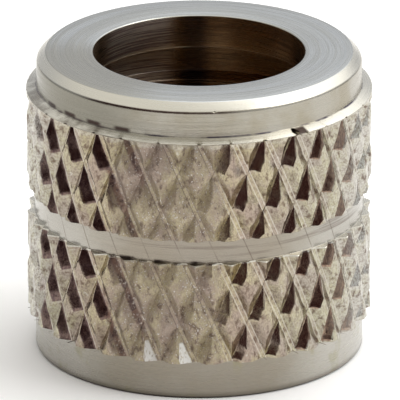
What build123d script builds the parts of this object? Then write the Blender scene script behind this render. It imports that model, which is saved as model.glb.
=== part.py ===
from build123d import *
from math import atan, ceil, cos, floor, pi, radians, sin, tan
import os

# A round union nut, turned from one piece of bar.
# The origin is at the centre of the bottom face, and +Z runs up the bore.
# The lip with the plain bore is at the top, and the thread opens at the bottom.
# The side with the clearest knurl faces -Y.

# Outside, in millimetres; the collars, the waist and the top face step in from the knurl
height = 15.0
knurl_diameter = 16.8
band_clearance = 0.012
root_clearance = 0.02
upper_collar_setback = 0.5
face_chamfer_width = 0.45
upper_collar_height = 1.65
lower_collar_height = 1.9
waist_width = 1.15
waist_middle = 7.55

# Edges of the turning
face_chamfer_drop = 0.4
foot_chamfer = 0.1
shoulder_drop = 0.18

# Rim of the shoulder, which the knurl's grooves run out under
rim_edge = 0.05
rim_drop = 0.2

# Diamond knurl: studs left standing between V grooves of both hands
knurl_count = 30
knurl_angle = 24.15
knurl_depth = 0.38
knurl_groove_width = 0.94
knurl_root_width = 0.14
knurl_start_angle = -73.5
knurl_start_height = 9.49

# Bore, relief and thread
bore_diameter = 10.3
bore_chamfer = 0.04
lip_thickness = 1.65
relief_diameter = 13.4
relief_width = 2.2
relief_ramp = 0.5
thread_minor_diameter = 11.45
thread_entry_diameter = 13.3

# Levels
upper_collar_foot = height - upper_collar_height
upper_band_top = upper_collar_foot - shoulder_drop
waist_top = waist_middle + waist_width / 2
waist_foot = waist_middle - waist_width / 2
lip_foot = height - lip_thickness
relief_foot = lip_foot - relief_width
thread_entry_drop = (thread_entry_diameter - thread_minor_diameter) / 2

# One diamond of the knurl, measured at half the groove's depth
knurl_radius = knurl_diameter / 2
band_radius = knurl_radius + band_clearance
knurl_root_radius = knurl_radius - knurl_depth
half_arc = pi * (knurl_radius - knurl_depth / 2) / knurl_count
half_rise = half_arc / tan(radians(knurl_angle))
half_pitch = half_arc * cos(radians(knurl_angle))
root_reach = half_pitch - knurl_root_width / 2
land_reach = half_pitch - knurl_groove_width / 2
flank_angle = atan((root_reach - land_reach) / knurl_depth)

# The plain parts of the outside; the lower collar and the waist lie just inside the grooves' roots
upper_collar_radius = knurl_radius - upper_collar_setback
face_radius = upper_collar_radius - face_chamfer_width
lower_collar_radius = knurl_root_radius - root_clearance
waist_radius = knurl_root_radius - root_clearance


def turned_body():
    """The whole turning, with both bands smooth and just clear of the flat diamonds to come."""
    with BuildPart() as body:
        with BuildSketch(Plane.XZ):
            with BuildLine():
                Polyline(
                    (thread_entry_diameter / 2, 0),
                    (lower_collar_radius - foot_chamfer, 0),
                    (lower_collar_radius, foot_chamfer),
                    (lower_collar_radius, lower_collar_height),
                    (band_radius, lower_collar_height),
                    (band_radius, waist_foot),
                    (waist_radius, waist_foot),
                    (waist_radius, waist_top),
                    (band_radius, waist_top),
                    (band_radius, upper_band_top),
                    (upper_collar_radius, upper_collar_foot),
                    (upper_collar_radius, height - face_chamfer_drop),
                    (face_radius, height),
                    (bore_diameter / 2 + bore_chamfer, height),
                    (bore_diameter / 2, height - bore_chamfer),
                    (bore_diameter / 2, lip_foot),
                    (relief_diameter / 2, lip_foot),
                    (relief_diameter / 2, relief_foot + relief_ramp),
                    (thread_minor_diameter / 2, relief_foot),
                    (thread_minor_diameter / 2, thread_entry_drop),
                    close=True,
                )
            make_face()
        revolve(axis=Axis.Z)
    return body.part


def knurl_zone():
    """The ring that the knurl's grooves reach into, up to the thin rim that caps them."""
    outer_radius = knurl_radius + knurl_depth
    with BuildPart() as zone:
        with BuildSketch(Plane.XZ):
            with BuildLine():
                Polyline(
                    (knurl_root_radius, lower_collar_height),
                    (outer_radius, lower_collar_height),
                    (outer_radius, upper_band_top - rim_edge),
                    (knurl_root_radius, upper_band_top - rim_drop),
                    close=True,
                )
            make_face()
        revolve(axis=Axis.Z)
    return zone.part


def knurl_stud():
    """One diamond stud on the +X side: a flat-topped block cut to shape by its four groove flanks."""
    with BuildPart() as stud:
        with BuildSketch(Plane.YZ.offset(knurl_root_radius - knurl_depth)):
            Rectangle(3 * half_arc, 3 * half_rise)
        extrude(amount=2 * knurl_depth)
        for side in (1, -1):
            for end in (1, -1):
                across = Vector(
                    0,
                    side * cos(radians(knurl_angle)),
                    end * sin(radians(knurl_angle)),
                )
                outward = Vector(sin(flank_angle), 0, 0) + across * cos(flank_angle)
                foot = Vector(knurl_root_radius, 0, 0) + across * root_reach
                split(bisect_by=Plane(origin=foot, z_dir=outward), keep=Keep.BOTTOM)
    return stud.part


def knurl_column(body, zone):
    """The studs above one another on both bands, every second one moved by half a step."""
    stud = knurl_stud()
    first_row = floor((lower_collar_height - knurl_start_height) / half_rise)
    last_row = ceil((upper_collar_foot - knurl_start_height) / half_rise)
    with BuildPart() as column:
        for row in range(first_row, last_row + 1):
            turn = knurl_start_angle + (row % 2) * 180 / knurl_count
            level = knurl_start_height + row * half_rise
            with Locations(Location((0, 0, level), (0, 0, turn))):
                add(stud)
        add(zone, mode=Mode.INTERSECT)
        add(body, mode=Mode.INTERSECT)
    return column.part


turning = turned_body()
grooved_ring = knurl_zone()
column = knurl_column(turning, grooved_ring)

with BuildPart() as union_nut:
    add(turning)
    add(grooved_ring, mode=Mode.SUBTRACT)
    with PolarLocations(0, knurl_count):
        add(column)

union_nut.part.label = "union_nut"

os.makedirs("parts", exist_ok=True)
export_step(union_nut.part, "parts/union_nut.step")
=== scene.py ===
"""The looks of a turned and diamond-knurled union nut, standing on a pale floor."""
import math

import bmesh
import bpy
from mathutils import Matrix, Vector, noise


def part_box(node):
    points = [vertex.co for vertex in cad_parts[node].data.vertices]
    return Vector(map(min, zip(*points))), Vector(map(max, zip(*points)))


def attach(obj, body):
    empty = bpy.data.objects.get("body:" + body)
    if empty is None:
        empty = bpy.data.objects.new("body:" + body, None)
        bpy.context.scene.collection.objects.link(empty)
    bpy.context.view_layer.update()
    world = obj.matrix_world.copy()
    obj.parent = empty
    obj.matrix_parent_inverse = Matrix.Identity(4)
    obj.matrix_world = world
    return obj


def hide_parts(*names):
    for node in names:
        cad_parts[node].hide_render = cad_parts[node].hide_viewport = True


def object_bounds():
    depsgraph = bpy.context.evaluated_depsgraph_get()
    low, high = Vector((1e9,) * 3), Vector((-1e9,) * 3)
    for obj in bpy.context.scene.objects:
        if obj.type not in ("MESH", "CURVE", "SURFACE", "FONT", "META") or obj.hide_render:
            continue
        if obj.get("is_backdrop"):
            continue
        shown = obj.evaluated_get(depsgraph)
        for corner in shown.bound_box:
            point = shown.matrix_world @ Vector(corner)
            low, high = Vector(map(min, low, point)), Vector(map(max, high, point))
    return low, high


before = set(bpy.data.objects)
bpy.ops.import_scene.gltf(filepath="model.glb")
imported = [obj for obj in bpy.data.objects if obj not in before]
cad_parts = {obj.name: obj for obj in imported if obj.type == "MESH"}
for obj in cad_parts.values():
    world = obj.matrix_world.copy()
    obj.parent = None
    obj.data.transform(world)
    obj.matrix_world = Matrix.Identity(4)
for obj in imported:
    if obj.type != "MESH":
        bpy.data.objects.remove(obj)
cad_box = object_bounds()

# All sizes are in millimetres, and MM turns them into Blender's metres.
MM = 0.001
NODE = "union_nut"

# The overall size comes from the frame.
node_low, node_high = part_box(NODE)
HEIGHT = (node_high[2] - node_low[2]) / MM

# Outside of the turning
KNURL_RADIUS = 8.4
BAND_RADIUS = 8.408
UPPER_COLLAR_RADIUS = 7.9
LOWER_COLLAR_RADIUS = 8.0
WAIST_RADIUS = 8.0
FACE_RADIUS = 7.45
FACE_CHAMFER_DROP = 0.4
FOOT_CHAMFER = 0.1
UPPER_COLLAR_FOOT = HEIGHT - 1.65
UPPER_BAND_TOP = UPPER_COLLAR_FOOT - 0.18
LOWER_COLLAR_TOP = 1.9
WAIST_TOP = 8.125
WAIST_FOOT = 6.975
BAND_BEVEL_DEPTH = 0.15
BAND_BEVEL_HEIGHT = 0.5

# Inside of the turning
BORE_RADIUS = 5.15
MOUTH_CHAMFER = 0.04
LIP_FOOT = HEIGHT - 1.65
RELIEF_RADIUS = 6.7
RELIEF_FOOT = LIP_FOOT - 2.2
RELIEF_RAMP = 0.5
THREAD_CREST_RADIUS = 5.725
THREAD_ENTRY_RADIUS = 6.65

# Roundings of the edges; the large ones have more steps to their arc
EDGE_ROUND = 0.03
CHAMFER_FOOT_ROUND = 0.25
CHAMFER_TOP_ROUND = 0.1
LIP_FOOT_ROUND = 0.04
STEP_ROUND = 0.1
LARGE_ROUND = 0.2
LARGE_ROUND_STEPS = 8
SMALL_ROUND_STEPS = 3
LATHE_SEGMENTS = 256

# Knurl: the grooves that rise to the left have a flat root, the others a sharp one
KNURL_COUNT = 30
KNURL_ANGLE = math.radians(24.15)
KNURL_DEPTH = 0.38
KNURL_START_ANGLE = math.radians(-73.5)
KNURL_START_HEIGHT = 9.49
SHARP_GROOVE_REACH = 0.45
SHARP_ROOT_HALF_WIDTH = 0.01
FLAT_GROOVE_LEFT_REACH = 0.68
FLAT_GROOVE_RIGHT_REACH = 0.47
FLAT_ROOT_HALF_WIDTH = 0.11
FLAT_ROOT_DEPTH = 0.36
FLAT_ROOT_SHIFT = 0.045
GROOVE_EASE = 0.05
HALF_ARC = math.pi * (KNURL_RADIUS - KNURL_DEPTH / 2) / KNURL_COUNT
HALF_RISE = HALF_ARC / math.tan(KNURL_ANGLE)
HALF_PITCH = HALF_ARC * math.cos(KNURL_ANGLE)

# The lines of the knurl's mesh, as shares of a cell from the middle of a land to that of a groove
LEFT_OF_FLAT = (0, 0.03, 0.067, 0.11, 0.2, 0.3, 0.38, 0.43, 0.465, 0.5)
RIGHT_OF_FLAT = (0, 0.1, 0.165, 0.2, 0.245, 0.32, 0.39, 0.43, 0.465, 0.5)
BESIDE_SHARP = (0, 0.1, 0.175, 0.215, 0.28, 0.35, 0.42, 0.465, 0.49, 0.5)

# Wear of the knurl
LAND_DROP = 0.05
LAND_DROP_BIAS = 0.35
LAND_TILT = 0.05
WANDER = 0.045
WANDER_SCALE = 1.3
RIPPLE = 0.012
RIPPLE_SCALES = (5.0, 1.9)

# Seed of the noise vectors, so that every run gives the same nut
NOISE_SEED = 7

# Rim of the shoulder over the grooves' ends
RIM_EDGE = 0.05
RIM_DROP = 0.2

# Notches in the rim, one at each crossing of the grooves; angles are in degrees
CROSSING_AZIMUTH = 10.5
NOTCH_DROP = 0.04
NOTCH_STAND = 0.02
NOTCH_WIDTH = 0.36
NOTCH_HEIGHT = 0.24
NOTCH_DEPTH = 0.15
NOTCH_TURN_SPREAD = 2
NOTCH_WIDTH_SPREAD = 0.2
NOTCH_DEPTH_SPREAD = 0.1
NOTCH_LEAN_SPREAD = 30

# Single nicks: azimuth from the front in degrees, height, radius, width, height, depth, and lean in degrees
SINGLE_NICKS = (
    (34.2, 13.27, 8.2, 0.75, 0.42, 0.42, -42),
    (38.5, 13.08, 8.4, 0.55, 0.16, 0.16, -35),
    (5.4, 14.62, 7.89, 0.3, 0.12, 0.1, 0),
)

# Thread, of the pipe kind with 55 degree flanks
THREAD_PITCH = 1.337
THREAD_DEPTH = 0.8
THREAD_SEGMENTS = 96
THREAD_MOUTH_HALF_WIDTH = 0.62
THREAD_ROOT_HALF_WIDTH = 0.12
THREAD_ROOT_ROUND = 0.08
THREAD_ROOT_FLAT = 0.05

# How far the cutting tools reach past the surface that they start from
OVERLAP = 0.1

# Edges that turn by more than this stay sharp in the shading
SHARP_ANGLE = math.radians(34)

# Sides of the nut: the azimuth each one faces, and the angles from it where it ends and where it is full
LEFT_SIDE = (-60, 49, 20)
BROWN_FRONT = (-10, 54, 11)
# The front, where the knurl is worn and where painted shade and glints lie
FRONT_WEAR_AND_LIGHT = (-12, 24, 12.5)
SHADED_FRONT = (0, 48, 14)
WHOLE_FRONT = (0, 54, 11)
FAR_RIGHT = (85, 38, 15)
FAR_LEFT = (-88, 28, 10)
STREAKED_SIDE = (-27, 11.5, 4.5)
GLINTING_SIDE = (-10.5, 9.7, 9.2)
MARKED_SIDE = (-46, 29, 24)
NICKED_SIDE = (36, 3.2, 2)
SHADED_LEFT_FLANKS = (-50, 22, 16)
SHADED_RIGHT_FLANKS = (48, 20, 8)

# Azimuths where the first glint starts and where one of the shoulder's marks lies
GLINT_START = -18.8
SHOULDER_MARK = -39.9

# Colours of the walls, in linear red, green and blue
WALL_GREY = (0.39, 0.37, 0.32)
WALL_WARM = (0.33, 0.30, 0.235)
# Painted shade: the walls above the waist darker on the left side
LEFT_COLLAR_SHADE = (0.215, 0.205, 0.17)
# Painted light: the foot and the waist paler at the sides
FOOT_SIDES_LIGHT = (0.47, 0.45, 0.41)
WAIST_SIDES_LIGHT = (0.42, 0.40, 0.36)
# Painted shade: the foot and the waist darker in front
FOOT_FRONT_SHADE = (0.29, 0.26, 0.215)
WAIST_FRONT_SHADE = (0.285, 0.25, 0.205)
WAIST_RINGS = (0.15, 0.12, 0.10)
FOOT_PATCHES = (0.31, 0.29, 0.15)
# Painted shade along the bottom edge of the foot, where it meets the floor
FOOT_EDGE_SHADE = (0.13, 0.115, 0.09)
# Painted highlight on the bevels
BEVEL_HIGHLIGHT = (0.54, 0.52, 0.46)
# Painted shade in the corner over the shoulder
CORNER_SHADE = (0.06, 0.05, 0.07)
# Painted shade on the shoulder's left side
LEFT_SHOULDER_SHADE = (0.15, 0.125, 0.10)
# Near black, for painted shade at the foot of the waist and on the shoulder's marks
PAINTED_SHADE = (0.05, 0.035, 0.03)
SCORE = (0.12, 0.09, 0.07)
FACE_COOL = (0.45, 0.465, 0.47)
FACE_WARM = (0.37, 0.375, 0.36)
# Painted shade: the top face darker on the left side
FACE_LEFT_SHADE = (0.30, 0.29, 0.255)

# Colours of the knurl
BRIGHT_OLIVE = (0.51, 0.49, 0.38)
BRIGHT_WARM = (0.42, 0.38, 0.325)
# Brown tones of the knurl in front: its own brown, darkened as painted shade
BROWN_OLIVE = (0.45, 0.385, 0.26)
BROWN_WARM = (0.37, 0.295, 0.24)
# Painted sheen on the knurl at the far left and the far right
KNURL_ENDS_SHEEN = (0.60, 0.59, 0.55)
OLIVE = (0.40, 0.37, 0.19)
# Painted highlight on the knurl just under the rim
UNDER_RIM_HIGHLIGHT = (0.54, 0.51, 0.43)
DARK_SPECKLE = (0.12, 0.075, 0.055)
# Pale speckle of the knurl, which also stands for small painted glints
PALE_SPECKLE_AND_GLINTS = (0.66, 0.64, 0.58)
GRIT = (0.17, 0.12, 0.09)
# Painted highlight on the edges of the flat roots, and painted shade on them in front
STRIP_EDGE_HIGHLIGHT = (0.62, 0.59, 0.52)
STRIP_EDGE_SHADE = (0.13, 0.09, 0.08)
# Small painted glints on the knurl in front
GLINT_SPECKS = (0.85, 0.83, 0.78)
# Painted shade on the knurl's flanks left of the front, streaked lighter in places
LEFT_FLANK_SHADE_DARK = (0.08, 0.045, 0.05)
LEFT_FLANK_SHADE_PALE = (0.17, 0.115, 0.10)
# Painted shade, grainy and reddish brown, on the knurl's flanks right of the front
RIGHT_FLANK_SHADE_DARK = (0.17, 0.10, 0.075)
RIGHT_FLANK_SHADE_PALE = (0.33, 0.22, 0.16)
# Painted shade in long streaks on the knurl left of the front
STREAK_SHADE_DARK = (0.075, 0.04, 0.04)
STREAK_SHADE_PALE = (0.20, 0.12, 0.09)
GLINT = (0.72, 0.71, 0.67)

# Colours of the bore
BORE_TAN = (0.52, 0.36, 0.20)
BORE_BROWN = (0.26, 0.17, 0.10)
# Tan turning marks on the bore's left, with painted light making them pale
BORE_LEFT_LIT = (0.95, 0.88, 0.78)
BORE_LEFT_DARK = (0.30, 0.22, 0.21)
# Painted shade in a streak on the back wall of the bore
BORE_BACK_SHADE = (0.10, 0.08, 0.08)
# Painted highlight along the foot of the bore's lip
LIP_HIGHLIGHT = (0.95, 0.85, 0.7)

# Light of the tent round the nut
TENT_LOW = (0.70, 0.71, 0.73)
TENT_HIGH = (1.12, 1.1, 1.04)
TENT_BEHIND = (2.4, 2.4, 2.38)
TENT_OPENING = (0.085, 0.04, 0.04)


def mesh_object(name, vertices, faces):
    """A new object from points in millimetres."""
    mesh = bpy.data.meshes.new(name)
    mesh.from_pydata([Vector(v) * MM for v in vertices], [], faces)
    mesh.validate()
    piece = bpy.data.objects.new(name, mesh)
    bpy.context.scene.collection.objects.link(piece)
    return piece


def solid_object(name, vertices, faces):
    """A new object from a closed mesh, with every face turned outwards."""
    piece = mesh_object(name, vertices, faces)
    work = bmesh.new()
    work.from_mesh(piece.data)
    bmesh.ops.recalc_face_normals(work, faces=work.faces)
    if work.calc_volume(signed=True) < 0:
        bmesh.ops.reverse_faces(work, faces=work.faces)
    work.to_mesh(piece.data)
    work.free()
    return piece


def on_ring(radius, angle, level):
    """The point at a radius, an angle in radians from +X and a height."""
    return (radius * math.cos(angle), radius * math.sin(angle), level)


def rounded_loop(points):
    """A closed outline of (radius, height, rounding) with each corner replaced by a small arc."""
    count = len(points)
    loop = []
    for i, (r, z, rounding) in enumerate(points):
        corner = Vector((r, z))
        back = Vector(points[i - 1][:2]) - corner
        ahead = Vector(points[(i + 1) % count][:2]) - corner
        turn = back.angle(ahead)
        reach = min(rounding / math.tan(turn / 2), 0.4 * back.length, 0.4 * ahead.length)
        start = corner + back.normalized() * reach
        end = corner + ahead.normalized() * reach
        steps = LARGE_ROUND_STEPS if rounding > LARGE_ROUND else SMALL_ROUND_STEPS
        for step in range(steps + 1):
            t = step / steps
            loop.append(start * (1 - t) ** 2 + corner * (2 * t * (1 - t)) + end * t ** 2)
    return loop


def joined_rings(first, second, count):
    """The faces between two neighbouring rings of points, given each ring's first number."""
    return [
        (first + i, second + i, second + (i + 1) % count, first + (i + 1) % count)
        for i in range(count)
    ]


def lathe(name, loop):
    """A closed outline of (radius, height) points turned round the Z axis."""
    count = len(loop)
    vertices = []
    faces = []
    for s in range(LATHE_SEGMENTS):
        angle = 2 * math.pi * s / LATHE_SEGMENTS
        vertices.extend(on_ring(r, angle, z) for r, z in loop)
        faces.extend(joined_rings(s * count, (s + 1) % LATHE_SEGMENTS * count, count))
    return solid_object(name, vertices, faces)


def combine(piece, tool, operation):
    """Cuts the piece with the tool, or keeps what they share, and deletes the tool."""
    step = piece.modifiers.new("combine", "BOOLEAN")
    step.operation = operation
    step.solver = "MANIFOLD"
    step.object = tool
    graph = bpy.context.evaluated_depsgraph_get()
    result = bpy.data.meshes.new_from_object(piece.evaluated_get(graph))
    piece.modifiers.remove(step)
    piece.data = result
    bpy.data.objects.remove(tool)


def turning():
    """The nut before it is knurled and threaded."""
    outline = [
        (THREAD_ENTRY_RADIUS, 0),
        (LOWER_COLLAR_RADIUS - FOOT_CHAMFER, 0),
        (LOWER_COLLAR_RADIUS, FOOT_CHAMFER),
        (LOWER_COLLAR_RADIUS, LOWER_COLLAR_TOP),
        (BAND_RADIUS, LOWER_COLLAR_TOP),
        (BAND_RADIUS, WAIST_FOOT, STEP_ROUND),
        (WAIST_RADIUS, WAIST_FOOT),
        (WAIST_RADIUS, WAIST_TOP),
        (BAND_RADIUS - BAND_BEVEL_DEPTH, WAIST_TOP),
        (BAND_RADIUS, WAIST_TOP + BAND_BEVEL_HEIGHT),
        (BAND_RADIUS, UPPER_BAND_TOP),
        (UPPER_COLLAR_RADIUS, UPPER_COLLAR_FOOT),
        (UPPER_COLLAR_RADIUS, HEIGHT - FACE_CHAMFER_DROP, CHAMFER_FOOT_ROUND),
        (FACE_RADIUS, HEIGHT, CHAMFER_TOP_ROUND),
        (BORE_RADIUS + MOUTH_CHAMFER, HEIGHT),
        (BORE_RADIUS, HEIGHT - MOUTH_CHAMFER),
        (BORE_RADIUS, LIP_FOOT, LIP_FOOT_ROUND),
        (RELIEF_RADIUS, LIP_FOOT),
        (RELIEF_RADIUS, RELIEF_FOOT + RELIEF_RAMP),
        (THREAD_CREST_RADIUS, RELIEF_FOOT),
        (THREAD_CREST_RADIUS, THREAD_ENTRY_RADIUS - THREAD_CREST_RADIUS),
    ]
    outline = [corner if len(corner) == 3 else (*corner, EDGE_ROUND) for corner in outline]
    return lathe("union_nut_finish", rounded_loop(outline))


def groove_zone():
    """The ring that the grooves may reach into, up to the rim that covers their ends."""
    inner_radius = KNURL_RADIUS - KNURL_DEPTH - OVERLAP
    reach_out = 0.5
    reach_down = 0.3
    outer_radius = BAND_RADIUS + reach_out
    slope = (RIM_DROP - RIM_EDGE) / KNURL_DEPTH
    foot = LOWER_COLLAR_TOP - reach_down
    outline = [
        (inner_radius, foot),
        (outer_radius, foot),
        (outer_radius, UPPER_BAND_TOP - RIM_EDGE + slope * reach_out),
        (inner_radius, UPPER_BAND_TOP - RIM_DROP - slope * OVERLAP),
    ]
    return lathe("groove_zone", outline)


def eased(x, ease):
    """x kept between 0 and 1, with both bends rounded."""
    def soft_positive(value):
        return (value + math.sqrt(value * value + ease * ease)) / 2
    return 1 - soft_positive(1 - soft_positive(x))


def groove_depth(off, root_half_width, reach, deepest):
    """How deep a groove is at a place given as a share of the pitch from the diamond's middle."""
    distance = 2 * HALF_PITCH * (0.5 - abs(off))
    height = eased((distance - root_half_width) / (reach - root_half_width), GROOVE_EASE)
    return deepest * (1 - height)


def land_depth(cell_u, cell_v, off_u, off_v):
    """How far one diamond's worn land lies below the crest, with its own height and tilt."""
    # Neighbouring cells lie far apart in the noise
    fall, lean, slant = noise.noise_vector(Vector((cell_u * 7.31, cell_v * 5.17, 0.5)))
    drop = LAND_DROP * max(0.0, LAND_DROP_BIAS + fall)
    return max(0.0, drop + LAND_TILT * (lean * off_u + slant * off_v) * 2)


def stations(left, right):
    """The mesh lines across one cell, given those on either side of the groove between two cells."""
    return [-share for share in reversed(right[1:])] + list(left[:-1])


FLAT_STATIONS = stations(LEFT_OF_FLAT, RIGHT_OF_FLAT)
SHARP_STATIONS = stations(BESIDE_SHARP, BESIDE_SHARP)
PER_CELL = len(FLAT_STATIONS)


def knurl_spot(i, j):
    """The radius, angle and height of one point of the knurl, numbered across both families of grooves."""
    cell_u, step_u = divmod(i, PER_CELL)
    cell_v, step_v = divmod(j, PER_CELL)
    off_u = FLAT_STATIONS[step_u]
    off_v = SHARP_STATIONS[step_v]
    u = cell_u + off_u + FLAT_ROOT_SHIFT
    v = cell_v + off_v
    angle = KNURL_START_ANGLE + math.pi / KNURL_COUNT * (u + v)
    level = KNURL_START_HEIGHT + HALF_RISE * (u - v)
    flat_reach = FLAT_GROOVE_LEFT_REACH if off_u > 0 else FLAT_GROOVE_RIGHT_REACH
    depth = max(
        groove_depth(off_u, FLAT_ROOT_HALF_WIDTH, flat_reach, FLAT_ROOT_DEPTH),
        groove_depth(off_v, SHARP_ROOT_HALF_WIDTH, SHARP_GROOVE_REACH, KNURL_DEPTH),
        land_depth(cell_u, cell_v, off_u, off_v),
    )
    spot = Vector(on_ring(KNURL_RADIUS, angle, level))
    wander = noise.noise_vector(spot * WANDER_SCALE) * WANDER
    ripple = sum(noise.noise(spot * scale) * RIPPLE for scale in RIPPLE_SCALES)
    radius = KNURL_RADIUS - max(0.0, depth + ripple)
    return radius, angle + wander.x / KNURL_RADIUS, level + wander.z


def within_turn(i, j):
    """The numbers of the same point of the knurl within the first turn."""
    wrap = KNURL_COUNT * PER_CELL
    if i + j >= 2 * wrap:
        return i - wrap, j - wrap
    if i + j < 0:
        return i + wrap, j + wrap
    return i, j


def knurl_squares():
    """The corners of each small square of the knurl's mesh, and the two triangles that it splits into."""
    first_row = math.floor((LOWER_COLLAR_TOP - KNURL_START_HEIGHT) / HALF_RISE)
    last_row = math.ceil((UPPER_COLLAR_FOOT - KNURL_START_HEIGHT) / HALF_RISE)
    for row in range(first_row, last_row + 1):
        for place in range(KNURL_COUNT):
            total = 2 * place + row % 2
            first_i = (total + row) // 2 * PER_CELL
            first_j = (total - row) // 2 * PER_CELL
            for a in range(PER_CELL):
                for b in range(PER_CELL):
                    i = first_i + a
                    j = first_j + b
                    same_side = (a < PER_CELL // 2) == (b < PER_CELL // 2)
                    triangles = ((0, 1, 2), (0, 2, 3)) if same_side else ((0, 1, 3), (1, 2, 3))
                    yield ((i, j), (i + 1, j), (i + 1, j + 1), (i, j + 1)), triangles


def knurl_waste():
    """What the two families of grooves take away, with its faces laid along the grooves."""
    outer_radius = BAND_RADIUS + 1.0
    index = {}
    vertices = []
    faces = []
    edges = set()

    def vertex(i, j):
        key = within_turn(i, j)
        if key not in index:
            index[key] = len(vertices)
            radius, angle, level = knurl_spot(*key)
            vertices.append(on_ring(radius, angle, level))
            vertices.append(on_ring(outer_radius, angle, level))
        return index[key]

    for places, triangles in knurl_squares():
        corners = [vertex(i, j) for i, j in places]
        for triangle in triangles:
            ring = tuple(corners[k] for k in triangle)
            faces.append(ring)
            faces.append(tuple(k + 1 for k in reversed(ring)))
        edges.update(zip(corners, corners[1:] + corners[:1]))
    for start, end in edges:
        if (end, start) not in edges:
            faces.append((end, start, start + 1))
            faces.append((end, start + 1, end + 1))
    return solid_object("knurl_waste", vertices, faces)


def thread_waste():
    """The helical groove of the thread, from below the entry to the relief."""
    start = -THREAD_PITCH
    turns = (RELIEF_FOOT + RELIEF_RAMP - start) / THREAD_PITCH
    root_radius = THREAD_CREST_RADIUS + THREAD_DEPTH
    section = [
        (THREAD_CREST_RADIUS - OVERLAP, -THREAD_MOUTH_HALF_WIDTH),
        (root_radius - THREAD_ROOT_ROUND, -THREAD_ROOT_HALF_WIDTH),
        (root_radius, -THREAD_ROOT_FLAT),
        (root_radius, THREAD_ROOT_FLAT),
        (root_radius - THREAD_ROOT_ROUND, THREAD_ROOT_HALF_WIDTH),
        (THREAD_CREST_RADIUS - OVERLAP, THREAD_MOUTH_HALF_WIDTH),
    ]
    count = len(section)
    steps = int(turns * THREAD_SEGMENTS)
    vertices = []
    faces = []
    for s in range(steps + 1):
        angle = 2 * math.pi * s / THREAD_SEGMENTS
        rise = start + THREAD_PITCH * s / THREAD_SEGMENTS
        vertices.extend(on_ring(r, angle, z + rise) for r, z in section)
        if s:
            faces.extend(joined_rings((s - 1) * count, s * count, count))
    faces.append(tuple(range(count)))
    faces.append(tuple(steps * count + i for i in reversed(range(count))))
    return solid_object("thread_waste", vertices, faces)


def rim_notches():
    """A notch in the rim at each crossing of the grooves, each a little different from the next."""
    for place in range(KNURL_COUNT):
        along, size, deep = noise.noise_vector(Vector((place * 3.7, 1.5, 0.5)))
        yield (
            CROSSING_AZIMUTH + 360 * place / KNURL_COUNT + NOTCH_TURN_SPREAD * along,
            UPPER_BAND_TOP - NOTCH_DROP,
            BAND_RADIUS + NOTCH_STAND,
            NOTCH_WIDTH + NOTCH_WIDTH_SPREAD * size,
            NOTCH_HEIGHT,
            NOTCH_DEPTH + NOTCH_DEPTH_SPREAD * deep,
            NOTCH_LEAN_SPREAD * along,
        )


def nick_waste():
    """Small nicks and dents: each is a slim eight-sided point pushed into the surface."""
    vertices = []
    faces = []
    for azimuth, level, radius, width, tall, deep, lean in (*SINGLE_NICKS, *rim_notches()):
        place = (
            Matrix.Rotation(math.radians(azimuth - 90), 4, "Z")
            @ Matrix.Translation((radius, 0, level))
            @ Matrix.Rotation(math.radians(lean), 4, "X")
        )
        base = len(vertices)
        for point in (
            (deep, 0, 0), (-deep, 0, 0), (0, width / 2, 0),
            (0, -width / 2, 0), (0, 0, tall / 2), (0, 0, -tall / 2),
        ):
            vertices.append(place @ Vector(point))
        for x in (0, 1):
            for y in (2, 3):
                for z in (4, 5):
                    faces.append((base + x, base + y, base + z))
    return solid_object("nick_waste", vertices, faces)


def towards(azimuth, elevation):
    """The direction at an azimuth from the front, to the right, and an elevation, in degrees."""
    azimuth = math.radians(azimuth)
    elevation = math.radians(elevation)
    return Vector((
        math.sin(azimuth) * math.cos(elevation),
        -math.cos(azimuth) * math.cos(elevation),
        math.sin(elevation),
    ))


def cosine(degrees):
    """The cosine of an angle in degrees."""
    return math.cos(math.radians(degrees))


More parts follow.
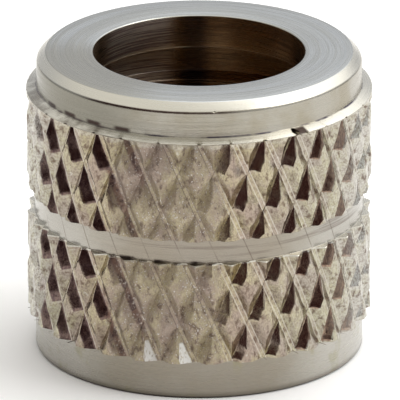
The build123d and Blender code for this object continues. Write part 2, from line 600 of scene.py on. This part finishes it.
class Nodes:
    """Adds and links shader nodes in one tree."""

    def __init__(self, tree):
        self.tree = tree

    def add(self, kind, **settings):
        node = self.tree.nodes.new(kind)
        for name, value in settings.items():
            setattr(node, name, value)
        return node

    def link(self, output, socket):
        self.tree.links.new(output, socket)

    def put(self, socket, value):
        """Gives a socket a constant or a link."""
        if isinstance(value, (int, float)):
            socket.default_value = value
        elif isinstance(value, tuple):
            socket.default_value = (*value, 1.0) if len(socket.default_value) == 4 else value
        else:
            self.link(value, socket)

    def math(self, operation, first, second=None):
        node = self.add("ShaderNodeMath", operation=operation)
        self.put(node.inputs[0], first)
        if second is not None:
            self.put(node.inputs[1], second)
        return node.outputs[0]

    def sum(self, first, second):
        return self.math("ADD", first, second)

    def difference(self, first, second):
        return self.math("SUBTRACT", first, second)

    def product(self, *values):
        result = values[0]
        for value in values[1:]:
            result = self.math("MULTIPLY", result, value)
        return result

    def either(self, *shares):
        """The largest of some shares."""
        result = shares[0]
        for share in shares[1:]:
            result = self.math("MAXIMUM", result, share)
        return result

    def without(self, share):
        """What a share leaves of 1."""
        return self.difference(1.0, share)

    def away(self, value, place):
        """How far a value is from a number, to either side."""
        return self.math("ABSOLUTE", self.difference(value, place))

    def length(self, x, y):
        return self.math("SQRT", self.sum(self.product(x, x), self.product(y, y)))

    def vector(self, x, y, z):
        node = self.add("ShaderNodeCombineXYZ")
        for socket, value in zip(node.inputs, (x, y, z)):
            self.put(socket, value)
        return node.outputs[0]

    def parts(self, vector):
        """The three parts of a vector."""
        node = self.add("ShaderNodeSeparateXYZ")
        self.link(vector, node.inputs[0])
        return node.outputs

    def spread(self, value, low, high, to_low=0.0, to_high=1.0):
        """Runs smoothly from one number to another while the value goes from low to high."""
        node = self.add("ShaderNodeMapRange", clamp=True, interpolation_type="SMOOTHSTEP")
        self.link(value, node.inputs["Value"])
        for name, number in (
            ("From Min", low), ("From Max", high), ("To Min", to_low), ("To Max", to_high),
        ):
            node.inputs[name].default_value = number
        return node.outputs["Result"]

    def sector(self, x, y, radius, azimuth, outer, inner):
        """1 where a place faces an azimuth, fading between two angles from it, in degrees."""
        aim = towards(azimuth, 0)
        ahead = self.sum(self.product(x, aim.x), self.product(y, aim.y))
        share = self.math("DIVIDE", ahead, self.math("MAXIMUM", radius, 0.001))
        return self.spread(share, cosine(outer), cosine(inner))

    def around(self, direction, azimuth, elevation, outer, inner):
        """1 around an azimuth and elevation, fading between two angles from it, in degrees."""
        node = self.add("ShaderNodeVectorMath", operation="DOT_PRODUCT")
        self.link(direction, node.inputs[0])
        node.inputs[1].default_value = towards(azimuth, elevation)
        return self.spread(node.outputs["Value"], cosine(outer), cosine(inner))

    def mix(self, share, first, second):
        """Goes from one number to another with a share."""
        node = self.add("ShaderNodeMix", data_type="FLOAT")
        for socket, value in zip((node.inputs["Factor"], *node.inputs[2:4]), (share, first, second)):
            self.put(socket, value)
        return node.outputs[0]

    def blend(self, share, first, second):
        """Goes from one colour to another with a share."""
        node = self.add("ShaderNodeMix", data_type="RGBA")
        for socket, value in zip((node.inputs["Factor"], *node.inputs[6:8]), (share, first, second)):
            self.put(socket, value)
        return node.outputs[2]

    def painted(self, colour, layers):
        """A colour under layers of (share, colour), each laid over those before it."""
        for share, coat in layers:
            colour = self.blend(share, colour, coat)
        return colour

    def clouds(self, place, detail, rough):
        node = self.add("ShaderNodeTexNoise")
        self.link(place, node.inputs["Vector"])
        node.inputs["Scale"].default_value = 1.0
        node.inputs["Detail"].default_value = detail
        node.inputs["Roughness"].default_value = rough
        return node.outputs[0]

    def bump(self, height, distance, strength, before=None):
        """Relief of a height in millimetres, on top of the relief before it."""
        node = self.add("ShaderNodeBump")
        node.inputs["Strength"].default_value = strength
        node.inputs["Distance"].default_value = distance * MM
        self.link(height, node.inputs["Height"])
        if before is not None:
            self.link(before, node.inputs["Normal"])
        return node.outputs[0]


class Plate(Nodes):
    """The nodes of the worn nickel plate, with places in millimetres and zones that are 1 or fade to 0."""

    def __init__(self, tree):
        super().__init__(tree)
        place = self.parts(self.add("ShaderNodeTexCoord").outputs["Object"])
        self.x, self.y, self.z = [self.math("MULTIPLY", axis, 1 / MM) for axis in place]
        self.radius = self.length(self.x, self.y)
        self.left = self.facing(LEFT_SIDE)
        self.front_wear_and_light = self.facing(FRONT_WEAR_AND_LIGHT)
        self.lay_clouds()
        self.lay_zones()
        self.lay_grooves()

    def facing(self, side):
        return self.sector(self.x, self.y, self.radius, *side)

    def scaled(self, flat, upright, lift=0.0, height=None):
        """The place for a noise: its scale on the flat and upright, and a shift that sets it apart."""
        return self.vector(
            self.sum(self.product(self.x, flat), lift),
            self.product(self.y, flat),
            self.product(self.z if height is None else height, upright),
        )

    def lay_clouds(self):
        """The noises of the plate; the turning marks follow the rings of the walls and of the top face."""
        rings_rise = self.sum(self.product(self.radius, 1.31), self.z)
        self.rings = self.clouds(self.scaled(0.22, 11.0, height=rings_rise), 4.0, 0.7)
        self.coarse_rings = self.clouds(self.scaled(0.1, 3.2, height=rings_rise), 3.0, 0.6)
        self.grain = self.clouds(self.scaled(5.0, 5.0), 4.0, 0.6)
        self.speckle = self.clouds(self.scaled(3.4, 2.2, 4.0), 4.0, 0.65)
        self.patches = self.clouds(self.scaled(0.8, 0.6, 9.0), 3.0, 0.6)
        self.stains = self.clouds(self.scaled(0.45, 0.45, 2.0), 3.0, 0.55)
        self.grit = self.clouds(self.scaled(11.0, 9.0, 8.0), 2.0, 0.7)
        self.drag = self.clouds(self.scaled(15.0, 4.0, 6.0), 3.0, 0.65)

    def lay_zones(self):
        """The parts of the nut: the knurl, the inside, the top face, the waist, the foot and the collar."""
        self.from_step = self.away(self.z, WAIST_FOOT)
        self.in_knurl = self.product(
            self.spread(self.radius, LOWER_COLLAR_RADIUS + 0.005, LOWER_COLLAR_RADIUS + 0.03),
            self.spread(self.z, UPPER_BAND_TOP, UPPER_BAND_TOP - 0.06),
            self.spread(self.from_step, 0.06, 0.1),
        )
        self.inside = self.product(
            self.spread(self.radius, RELIEF_RADIUS + 0.1, RELIEF_RADIUS + 0.05),
            self.spread(self.z, HEIGHT - 0.03, HEIGHT - 0.07),
        )
        self.on_top = self.spread(self.z, HEIGHT - 0.03, HEIGHT - 0.01)
        self.on_waist = self.product(
            self.spread(self.z, WAIST_FOOT - 0.05, WAIST_FOOT + 0.02),
            self.spread(self.z, WAIST_TOP + 0.05, WAIST_TOP - 0.02),
            self.spread(self.radius, WAIST_RADIUS - 0.5, WAIST_RADIUS - 0.1),
        )
        self.on_foot = self.product(
            self.spread(self.z, LOWER_COLLAR_TOP + 0.05, LOWER_COLLAR_TOP - 0.1),
            self.spread(self.radius, LOWER_COLLAR_RADIUS - 0.5, LOWER_COLLAR_RADIUS - 0.2),
        )
        self.on_collar = self.spread(self.radius, UPPER_COLLAR_RADIUS - 0.3, UPPER_COLLAR_RADIUS - 0.2)

    def lay_grooves(self):
        """How far a place is past the root of each kind of groove, as a share of its pitch."""
        self.steps_round = self.product(
            self.math("ARCTAN2", self.y, self.x), KNURL_COUNT / math.pi / 2,
        )
        rise = self.product(self.z, 1 / HALF_RISE / 2)
        start_round = KNURL_START_ANGLE * KNURL_COUNT / math.pi / 2
        start_rise = KNURL_START_HEIGHT / HALF_RISE / 2
        flat_start = start_round + start_rise + FLAT_ROOT_SHIFT
        sharp_start = start_round - start_rise
        self.past_flat = self.past_root(self.sum(self.steps_round, rise), flat_start)
        self.past_sharp = self.past_root(self.difference(self.steps_round, rise), sharp_start)
        self.from_flat = self.math("ABSOLUTE", self.past_flat)

    def past_root(self, spiral, start):
        """0 in the roots of the grooves, and from -0.5 to 0.5 on either side of each."""
        return self.difference(self.math("FRACT", self.difference(spiral, start)), 0.5)

    def past_azimuth(self, azimuth):
        """Goes from 0 to 1 over each of the knurl's steps round, the first of them from an azimuth."""
        return self.math("FRACT", self.sum(self.steps_round, (90 - azimuth) * KNURL_COUNT / 360))

    def depth_at(self, past, root, reach, deepest):
        """How deep the straight flank of a groove is."""
        distance = self.product(self.math("ABSOLUTE", past), 2 * HALF_PITCH)
        rise = self.math("DIVIDE", self.difference(distance, root), self.difference(reach, root))
        return self.product(self.without(rise), deepest)

    def flanks(self):
        """The flanks of the diamonds left of a flat-rooted groove, and those right of a sharp one."""
        flat_reach = self.spread(
            self.past_flat, -0.01, 0.01, FLAT_GROOVE_LEFT_REACH, FLAT_GROOVE_RIGHT_REACH,
        )
        flat_depth = self.depth_at(self.past_flat, FLAT_ROOT_HALF_WIDTH, flat_reach, FLAT_ROOT_DEPTH)
        sharp_depth = self.depth_at(
            self.past_sharp, SHARP_ROOT_HALF_WIDTH, SHARP_GROOVE_REACH, KNURL_DEPTH,
        )
        flat_is_deeper = self.difference(flat_depth, sharp_depth)
        left_flanks = self.product(
            self.spread(self.past_flat, -0.07, -0.078),
            self.spread(flat_is_deeper, -0.01, 0.02),
            self.spread(flat_depth, 0.05, 0.08),
        )
        right_flanks = self.product(
            self.spread(self.past_sharp, 0.0, 0.01),
            self.spread(flat_is_deeper, 0.01, -0.02),
            self.spread(sharp_depth, 0.05, 0.08),
        )
        return left_flanks, right_flanks

    def bevels(self):
        """Painted highlights on the bevels of the top face, the shoulder and, away from the front, the
        waist's step.
        """
        top_bevel = self.product(
            self.spread(self.z, HEIGHT - FACE_CHAMFER_DROP, HEIGHT - 0.34),
            self.spread(self.radius, FACE_RADIUS - 0.15, FACE_RADIUS - 0.05),
        )
        shoulder = self.product(
            self.spread(self.z, UPPER_BAND_TOP - 0.03, UPPER_BAND_TOP + 0.01),
            self.spread(self.radius, UPPER_COLLAR_RADIUS, UPPER_COLLAR_RADIUS + 0.06),
        )
        step = self.product(
            self.spread(self.from_step, 0.1, 0.06),
            self.spread(self.radius, WAIST_RADIUS + 0.01, WAIST_RADIUS + 0.04),
            self.without(self.front_wear_and_light),
        )
        return self.either(top_bevel, shoulder, step)

    def collar_corner_shade(self):
        """Painted shade in patches in the corner over the shoulder."""
        return self.product(
            self.spread(self.away(self.z, UPPER_COLLAR_FOOT), 0.07, 0.01),
            self.spread(self.radius, UPPER_COLLAR_RADIUS + 0.1, UPPER_COLLAR_RADIUS + 0.02),
            self.spread(self.radius, UPPER_COLLAR_RADIUS - 0.2, UPPER_COLLAR_RADIUS - 0.1),
            self.spread(self.patches, 0.4, 0.6),
        )

    def waist_foot_shade(self):
        """Ragged painted shade along the foot of the waist, in front."""
        return self.product(
            self.spread(self.z, WAIST_FOOT + 0.16, WAIST_FOOT + 0.02),
            self.on_waist,
            self.front_wear_and_light,
            self.spread(self.patches, 0.49, 0.58),
        )

    def shaded_left_shoulder(self):
        """Mottled painted shade on the shoulder's left side."""
        return self.product(
            self.left,
            self.spread(self.z, UPPER_BAND_TOP - 0.02, UPPER_BAND_TOP + 0.02),
            self.spread(self.z, UPPER_COLLAR_FOOT + 0.12, UPPER_COLLAR_FOOT),
            self.on_collar,
            self.spread(self.patches, 0.4, 0.62),
            0.7,
        )

    def shoulder_shade_marks(self):
        """Painted shade: dark marks on the shoulder's left, one at each of the knurl's steps, and round the
        nick.
        """
        half_step = 180 / KNURL_COUNT
        from_mark = self.away(self.past_azimuth(SHOULDER_MARK - half_step), 0.5)
        marks = self.product(
            self.spread(from_mark, 0.34, 0.16),
            self.facing(MARKED_SIDE),
            self.spread(self.away(self.z, UPPER_COLLAR_FOOT + 0.1), 0.16, 0.04),
            self.on_collar,
        )
        nick = self.product(
            self.facing(NICKED_SIDE),
            self.spread(self.away(self.z, UPPER_BAND_TOP + 0.07), 0.13, 0.06),
        )
        return self.either(marks, nick)

    def walls(self):
        """The collars, the waist and the shoulder: painted shade in front and, above the waist, on the left,
        painted light at the sides, painted highlights on the bevels and painted shade in corners.
        """
        above_waist = self.spread(self.z, WAIST_TOP, WAIST_TOP + 0.5)
        sides = self.without(self.facing(WHOLE_FRONT))
        shade_in_front = self.facing(SHADED_FRONT)
        waist_rings = self.spread(self.coarse_rings, 0.55, 0.68)
        foot_patches = self.spread(self.patches, 0.56, 0.7)
        shaded_bottom = self.spread(self.z, 0.4, 0.05)
        grey = self.blend(self.spread(self.stains, 0.35, 0.65), WALL_GREY, WALL_WARM)
        return self.painted(grey, (
            (self.product(self.left, above_waist, 0.9), LEFT_COLLAR_SHADE),
            (self.product(self.on_foot, sides), FOOT_SIDES_LIGHT),
            (self.product(self.on_waist, sides), WAIST_SIDES_LIGHT),
            (self.product(self.on_foot, shade_in_front, 0.75), FOOT_FRONT_SHADE),
            (self.product(self.on_waist, shade_in_front, 0.8), WAIST_FRONT_SHADE),
            (self.product(self.on_waist, waist_rings, 0.6), WAIST_RINGS),
            (self.waist_foot_shade(), PAINTED_SHADE),
            (self.product(self.on_foot, foot_patches, 0.4), FOOT_PATCHES),
            (self.product(self.on_foot, shaded_bottom, 0.7), FOOT_EDGE_SHADE),
            (self.bevels(), BEVEL_HIGHLIGHT),
            (self.collar_corner_shade(), CORNER_SHADE),
            (self.shaded_left_shoulder(), LEFT_SHOULDER_SHADE),
            (self.shoulder_shade_marks(), PAINTED_SHADE),
        ))

    def top_face(self):
        """The turned top face, with painted shade darkening it on the left."""
        face = self.blend(self.spread(self.coarse_rings, 0.35, 0.65), FACE_COOL, FACE_WARM)
        return self.blend(self.product(self.left, 0.85), face, FACE_LEFT_SHADE)

    def streaks(self):
        """Left of the front, long reddish streaks of painted shade on the flanks beside the flat-rooted
        grooves.
        """
        return self.product(
            self.spread(self.away(self.past_flat, -0.13), 0.13, 0.06),
            self.facing(STREAKED_SIDE),
            self.spread(self.grit, 0.62, 0.45, 0.35, 0.9),
        )

    def glints(self):
        """Glints at the foot of the knurl in front, each with an upright left side."""
        past_start = self.past_azimuth(GLINT_START)
        return self.product(
            self.spread(self.past_flat, -0.09, -0.12),
            self.spread(self.past_flat, -0.42, -0.40),
            self.spread(past_start, 0.0, 0.02),
            self.spread(past_start, 0.42, 0.4),
            self.facing(GLINTING_SIDE),
            self.spread(self.z, LOWER_COLLAR_TOP + 1.05, LOWER_COLLAR_TOP + 0.95),
            self.spread(self.drag, 0.3, 0.5),
        )

    def bare_knurl(self):
        """The knurl before its marks: brown and darker in front, its brown tone with painted shade, brighter
        round the sides, with a painted sheen at the ends and a painted highlight under the rim.
        """
        olive_to_warm = self.spread(self.patches, 0.36, 0.62)
        bright = self.blend(olive_to_warm, BRIGHT_OLIVE, BRIGHT_WARM)
        brown = self.blend(olive_to_warm, BROWN_OLIVE, BROWN_WARM)
        ends = self.either(self.facing(FAR_RIGHT), self.facing(FAR_LEFT))
        olive = self.product(self.spread(self.drag, 0.45, 0.6), self.spread(self.patches, 0.6, 0.45))
        highlight_under_rim = self.spread(self.z, UPPER_BAND_TOP - 0.4, UPPER_BAND_TOP - 0.25)
        return self.painted(self.blend(self.facing(BROWN_FRONT), bright, brown), (
            (self.product(ends, 0.75), KNURL_ENDS_SHEEN),
            (self.product(olive, 0.35), OLIVE),
            (self.product(highlight_under_rim, 0.6), UNDER_RIM_HIGHLIGHT),
        ))

    def knurl(self):
        """The knurl with its speckle and small painted glints, painted highlights and shade on the edges of
        its flat roots, dark flanks and streaks of painted shade, and glints.
        """
        strip_edge = self.spread(self.away(self.from_flat, 0.066), 0.018, 0.006)
        strip_edge_light_and_shade = self.blend(self.front_wear_and_light, STRIP_EDGE_HIGHLIGHT, STRIP_EDGE_SHADE)
        glint_specks = self.product(self.front_wear_and_light, self.spread(self.grit, 0.60, 0.68), 0.7)
        left_flanks, right_flanks = self.flanks()
        dragged = self.spread(self.drag, 0.4, 0.6)
        left_flank_shade = self.blend(dragged, LEFT_FLANK_SHADE_DARK, LEFT_FLANK_SHADE_PALE)
        right_flank_shade = self.blend(dragged, RIGHT_FLANK_SHADE_DARK, RIGHT_FLANK_SHADE_PALE)
        streak_shade = self.blend(self.spread(self.speckle, 0.42, 0.56), STREAK_SHADE_DARK, STREAK_SHADE_PALE)
        return self.painted(self.bare_knurl(), (
            (self.product(self.spread(self.speckle, 0.52, 0.66), 0.8), DARK_SPECKLE),
            (self.product(self.spread(self.speckle, 0.38, 0.28), 0.6), PALE_SPECKLE_AND_GLINTS),
            (self.product(self.spread(self.grit, 0.42, 0.62), 0.5), GRIT),
            (self.product(strip_edge, 0.6), strip_edge_light_and_shade),
            (glint_specks, GLINT_SPECKS),
            (self.product(left_flanks, self.facing(SHADED_LEFT_FLANKS), 0.9), left_flank_shade),
            (self.product(right_flanks, self.facing(SHADED_RIGHT_FLANKS), 0.8), right_flank_shade),
            (self.streaks(), streak_shade),
            (self.glints(), GLINT),
        ))

    def bore(self):
        """The brown bore, with tan turning marks on the left, made paler there as painted light, a dark
        streak of painted shade at the back and a painted highlight on the lip.
        """
        brown = self.blend(self.spread(self.rings, 0.36, 0.62), BORE_TAN, BORE_BROWN)
        tan = self.blend(self.spread(self.rings, 0.44, 0.58), BORE_LEFT_LIT, BORE_LEFT_DARK)
        streak = self.product(
            self.spread(self.away(self.x, -0.25), 1.0, 0.2), self.spread(self.y, 1.0, 3.0),
        )
        lip_highlight = self.product(
            self.spread(self.z, LIP_FOOT + 0.11, LIP_FOOT + 0.05),
            self.spread(self.z, LIP_FOOT - 0.05, LIP_FOOT + 0.01),
            self.spread(self.radius, BORE_RADIUS + 0.3, BORE_RADIUS + 0.2),
            self.spread(self.x, -0.2, -1.2, 0.1, 1.0),
        )
        return self.painted(brown, (
            (self.product(self.bore_left(), 0.85), tan),
            (self.product(streak, 0.75), BORE_BACK_SHADE),
            (lip_highlight, LIP_HIGHLIGHT),
        ))

    def bore_left(self):
        return self.product(self.spread(self.x, -0.8, -1.8), self.spread(self.x, -4.9, -4.1))

    def colour(self):
        """The whole nut; where the flat-rooted grooves cross the waist, they leave faint scores."""
        score = self.product(
            self.spread(self.from_flat, 0.022, 0.01),
            self.on_waist,
            self.spread(self.patches, 0.35, 0.6, 0.1, 0.65),
        )
        return self.painted(self.walls(), (
            (self.on_top, self.top_face()),
            (self.in_knurl, self.knurl()),
            (score, SCORE),
            (self.inside, self.bore()),
        ))

    def metal(self):
        """The front of the knurl is dull and corroded."""
        return self.without(self.product(self.front_wear_and_light, self.in_knurl, 0.55))

    def roughness(self):
        turned = self.sum(
            self.spread(self.rings, 0.3, 0.7, 0.2, 0.32),
            self.product(self.bore_left(), self.inside, 0.1),
        )
        rolled = self.sum(
            self.spread(self.speckle, 0.3, 0.7, 0.13, 0.25), self.product(self.front_wear_and_light, 0.2),
        )
        return self.mix(self.in_knurl, turned, rolled)

    def relief(self):
        """Fine turning marks on the plain walls, and pits and patches of wear on the knurl."""
        plain = self.without(self.in_knurl)
        pits = self.product(
            self.sum(self.speckle, self.drag), self.in_knurl, self.sum(self.front_wear_and_light, 0.3),
        )
        wear = self.product(self.patches, self.front_wear_and_light, self.in_knurl)
        normal = self.bump(self.product(self.rings, plain), 0.012, 0.25)
        normal = self.bump(self.product(self.coarse_rings, plain), 0.02, 0.3, normal)
        normal = self.bump(self.grain, 0.012, 0.35, normal)
        normal = self.bump(pits, 0.014, 0.6, normal)
        return self.bump(wear, 0.12, 0.5, normal)


def nickel():
    """Worn nickel plate: turned on the plain walls, rough and brown on the knurl, warmer inside."""
    material = bpy.data.materials.new("worn_nickel_plate")
    material.use_nodes = True
    plate = Plate(material.node_tree)
    shader = material.node_tree.nodes["Principled BSDF"]
    plate.link(plate.colour(), shader.inputs["Base Color"])
    plate.link(plate.metal(), shader.inputs["Metallic"])
    plate.link(plate.roughness(), shader.inputs["Roughness"])
    plate.link(plate.relief(), shader.inputs["Normal"])
    return material


def pale_floor():
    """A wide plain white floor, which ends a little way in front of the nut."""
    size = 900
    front_edge = -110
    floor = mesh_object(
        "floor",
        [(-size, front_edge, 0), (size, front_edge, 0), (size, size, 0), (-size, size, 0)],
        [(0, 1, 2, 3)],
    )
    floor.location.z = -0.01 * MM
    material = bpy.data.materials.new("pale_floor")
    material.use_nodes = True
    shader = material.node_tree.nodes["Principled BSDF"]
    shader.inputs["Base Color"].default_value = (0.95, 0.95, 0.95, 1)
    shader.inputs["Roughness"].default_value = 0.9
    shader.inputs["Specular IOR Level"].default_value = 0.0
    floor.data.materials.append(material)
    floor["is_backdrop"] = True


def tent():
    """A white tent, brightest behind on the right, with a dark opening in front and to the left."""
    world = bpy.data.worlds.new("studio")
    bpy.context.scene.world = world
    world.use_nodes = True
    tree = Nodes(world.node_tree)
    background = world.node_tree.nodes["Background"]
    direction = tree.add("ShaderNodeTexCoord").outputs["Generated"]
    x, y, z = tree.parts(direction)
    behind = tree.around(direction, 140, 55, 45, 5)
    opening = tree.product(
        tree.sector(x, y, tree.length(x, y), -30, 62, 50),
        tree.spread(z, math.sin(math.radians(52)), math.sin(math.radians(34))),
    )
    walls = tree.blend(tree.spread(z, 0.25, 0.8), TENT_LOW, TENT_HIGH)
    light = tree.painted(walls, ((behind, TENT_BEHIND), (opening, TENT_OPENING)))
    tree.link(light, background.inputs["Color"])


def soft_lamp():
    """A soft lamp on the right, turned towards the nut."""
    data = bpy.data.lights.new("soft_lamp", "AREA")
    data.shape = "RECTANGLE"
    data.size = 350 * MM
    data.size_y = 300 * MM
    data.energy = 0.9
    lamp = bpy.data.objects.new("soft_lamp", data)
    lamp.location = towards(80, 45) * 500 * MM
    lamp.rotation_euler = (-lamp.location).to_track_quat("-Z", "Y").to_euler()
    bpy.context.scene.collection.objects.link(lamp)


def photo_camera():
    """The camera of the photograph: far off, about 20 degrees above the nut."""
    distance = 433.7
    elevation = 20.3
    rise = Vector((0, math.sin(math.radians(elevation)), cosine(elevation)))
    target = Vector((0.042, 0.0, 7.32)) - rise * 0.064
    data = bpy.data.cameras.new("camera")
    data.lens = 800
    data.sensor_width = 36
    camera = bpy.data.objects.new("camera", data)
    away = towards(0, elevation)
    camera.location = (target + away * distance) * MM
    camera.rotation_euler = (-away).to_track_quat("-Z", "Y").to_euler()
    bpy.context.scene.collection.objects.link(camera)
    bpy.context.scene.camera = camera


def finished_nut():
    """The whole nut in fine mesh, which stands for the CAD node."""
    grooves = knurl_waste()
    combine(grooves, groove_zone(), "INTERSECT")
    nut = turning()
    combine(nut, grooves, "DIFFERENCE")
    combine(nut, thread_waste(), "DIFFERENCE")
    combine(nut, nick_waste(), "DIFFERENCE")
    nut.data.shade_smooth()
    nut.data.set_sharp_from_angle(angle=SHARP_ANGLE)
    nut.data.materials.clear()
    nut.data.materials.append(nickel())
    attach(nut, "root")
    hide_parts(NODE)


noise.seed_set(NOISE_SEED)
photo_camera()
tent()
soft_lamp()
pale_floor()
finished_nut()
bpy.context.scene.view_settings.view_transform = "Standard"

[[list(map(float, corner)) for corner in box] for box in (cad_box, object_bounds())]
